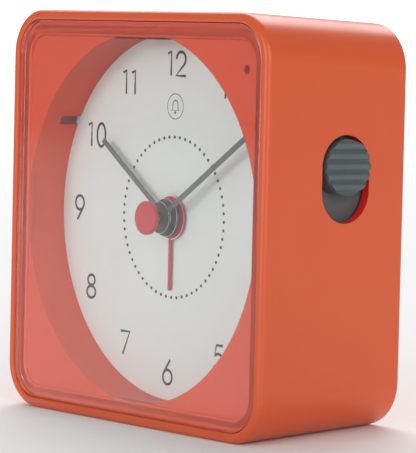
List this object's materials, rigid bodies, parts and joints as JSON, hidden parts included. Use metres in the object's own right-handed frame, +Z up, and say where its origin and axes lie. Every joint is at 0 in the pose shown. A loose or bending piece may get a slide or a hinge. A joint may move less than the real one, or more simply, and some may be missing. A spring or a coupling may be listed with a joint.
{
  "type": "travel alarm clock",
  "caption": "Square travel alarm clock with a deep round dial, four hands, a sliding alarm switch on its side and rear setting knobs.",
  "frame": {"origin": "middle of the level underside that the clock stands on", "axes": "+Z up, the dial faces -Y, +X to the right as the dial is read; the hands turn about an axis that tips 2.31 degrees up out of the front"},
  "size_m": [0.0803, 0.0391, 0.0798],
  "materials": {
    "case_plastic": "glossy moulded",
    "clear_lens": "clear, polished",
    "dial_print": "satin print",
    "carrier_plastic": "moulded",
    "screw_steel": "zinc plated",
    "dark_hand": "satin lacquer",
    "red_hand": "satin lacquer",
    "movement_plastic": "moulded",
    "wheel_plastic": "acetal, moulded",
    "arbor_brass": "turned",
    "magnet": "sintered",
    "grey_plastic": "moulded",
    "silicon_steel": "stamped",
    "bobbin_plastic": "moulded",
    "copper_wire": "enamelled wire",
    "board_laminate": "solder mask",
    "chip_resin": "potting resin",
    "bright_can": "nickel plated",
    "cell_wrap": "printed sleeve",
    "buzzer_plastic": "moulded",
    "buzzer_brass": "rolled"
  },
  "bodies": {
    "clock": {"alarm_contact_spring": "bright_can", "battery_cell": "cell_wrap", "battery_contact_negative": "bright_can", "battery_contact_positive": "bright_can", "buzzer_disc": "buzzer_brass", "buzzer_ring": "buzzer_plastic", "case_screws": "screw_steel", "case_shell": "case_plastic", "circuit_board": "board_laminate", "coil_bobbin": "bobbin_plastic", "coil_core": "silicon_steel", "coil_winding": "copper_wire", "control_chip": "chip_resin", "dial_carrier": "carrier_plastic", "dial_light": "chip_resin", "dial_plate": "dial_print", "dial_surround": "case_plastic", "front_lens": "clear_lens", "light_sensor": "chip_resin", "movement_front_plate": "movement_plastic", "movement_housing": "movement_plastic", "movement_screws": "screw_steel", "quartz_crystal": "bright_can", "retaining_clips": "screw_steel", "slide_switch": "bright_can", "stator": "silicon_steel", "switch_board": "board_laminate"},
    "seconds": {"seconds_disc": "red_hand", "seconds_wheel": "arbor_brass"},
    "third": {"third_wheel": "wheel_plastic"},
    "intermediate": {"intermediate_wheel": "wheel_plastic"},
    "rotor": {"rotor": "magnet"},
    "centre": {"centre_wheel": "wheel_plastic"},
    "minute": {"minute_hand": "dark_hand", "minute_arbor": "arbor_brass", "clutch_washer": "screw_steel"},
    "hour": {"hour_hand": "dark_hand", "hour_wheel": "wheel_plastic"},
    "motion": {"minute_wheel": "wheel_plastic"},
    "time_setter": {"time_set_stem": "grey_plastic", "time_set_knob": "grey_plastic"},
    "alarm": {"alarm_hand": "red_hand", "alarm_wheel": "wheel_plastic"},
    "alarm_setter": {"alarm_set_stem": "grey_plastic", "alarm_set_knob": "grey_plastic"},
    "alarm_switch": {"alarm_switch_slider": "grey_plastic", "switch_lever": "buzzer_plastic"},
    "door": {"battery_door": "case_plastic"}
  },
  "joints": [
    {"name": "seconds_turn", "type": "hinge", "parent": "clock", "child": "seconds", "pos_m": [0, 0.00203, 0.03922], "axis": [0, -0.9992, 0.0403], "continuous": true},
    {"name": "third_turn", "type": "hinge", "parent": "clock", "child": "third", "pos_m": [-0.00736, 0.0022, 0.04347], "axis": [0, -0.9992, 0.0403], "continuous": true},
    {"name": "intermediate_turn", "type": "hinge", "parent": "clock", "child": "intermediate", "pos_m": [0.0042, 0.00233, 0.04649], "axis": [0, -0.9992, 0.0403], "continuous": true},
    {"name": "rotor_turn", "type": "hinge", "parent": "clock", "child": "rotor", "pos_m": [0.0078, 0.00258, 0.05272], "axis": [0, -0.9992, 0.0403], "continuous": true},
    {"name": "centre_turn", "type": "hinge", "parent": "clock", "child": "centre", "pos_m": [0, 0.00203, 0.03922], "axis": [0, -0.9992, 0.0403], "continuous": true},
    {"name": "minute_turn", "type": "hinge", "parent": "clock", "child": "minute", "pos_m": [0, 0.00203, 0.03922], "axis": [0, -0.9992, 0.0403], "continuous": true},
    {"name": "hour_turn", "type": "hinge", "parent": "clock", "child": "hour", "pos_m": [0, 0.00203, 0.03922], "axis": [0, -0.9992, 0.0403], "continuous": true},
    {"name": "motion_turn", "type": "hinge", "parent": "clock", "child": "motion", "pos_m": [0.0072, 0.00195, 0.03712], "axis": [0, -0.9992, 0.0403], "continuous": true},
    {"name": "time_set_turn", "type": "hinge", "parent": "clock", "child": "time_setter", "pos_m": [0.01433, 0.00179, 0.03323], "axis": [0, -0.9992, 0.0403], "continuous": true},
    {"name": "alarm_turn", "type": "hinge", "parent": "clock", "child": "alarm", "pos_m": [0, 0.00203, 0.03922], "axis": [0, -0.9992, 0.0403], "continuous": true},
    {"name": "alarm_set_turn", "type": "hinge", "parent": "clock", "child": "alarm_setter", "pos_m": [-0.00671, 0.00179, 0.03323], "axis": [0, -0.9992, 0.0403], "continuous": true},
    {"name": "alarm_switch_slide", "type": "slide", "parent": "clock", "child": "alarm_switch", "axis": [0, 0.0403, 0.9992], "range_m": [-0.0045, 0]},
    {"name": "battery_door_pull", "type": "slide", "parent": "clock", "child": "door", "axis": [0, 0.9992, -0.0403], "range_m": [0, 0.012]}
  ],
  "couplings": [
    {"joint": "third_turn", "follows": "seconds_turn", "ratio": -0.13333},
    {"joint": "centre_turn", "follows": "seconds_turn", "ratio": 0.016667},
    {"joint": "intermediate_turn", "follows": "seconds_turn", "ratio": -6},
    {"joint": "rotor_turn", "follows": "seconds_turn", "ratio": 30},
    {"joint": "motion_turn", "follows": "minute_turn", "ratio": -0.33333},
    {"joint": "hour_turn", "follows": "minute_turn", "ratio": 0.083333},
    {"joint": "time_set_turn", "follows": "minute_turn", "ratio": 0.75},
    {"joint": "alarm_turn", "follows": "alarm_set_turn", "ratio": -0.5}
  ]
}
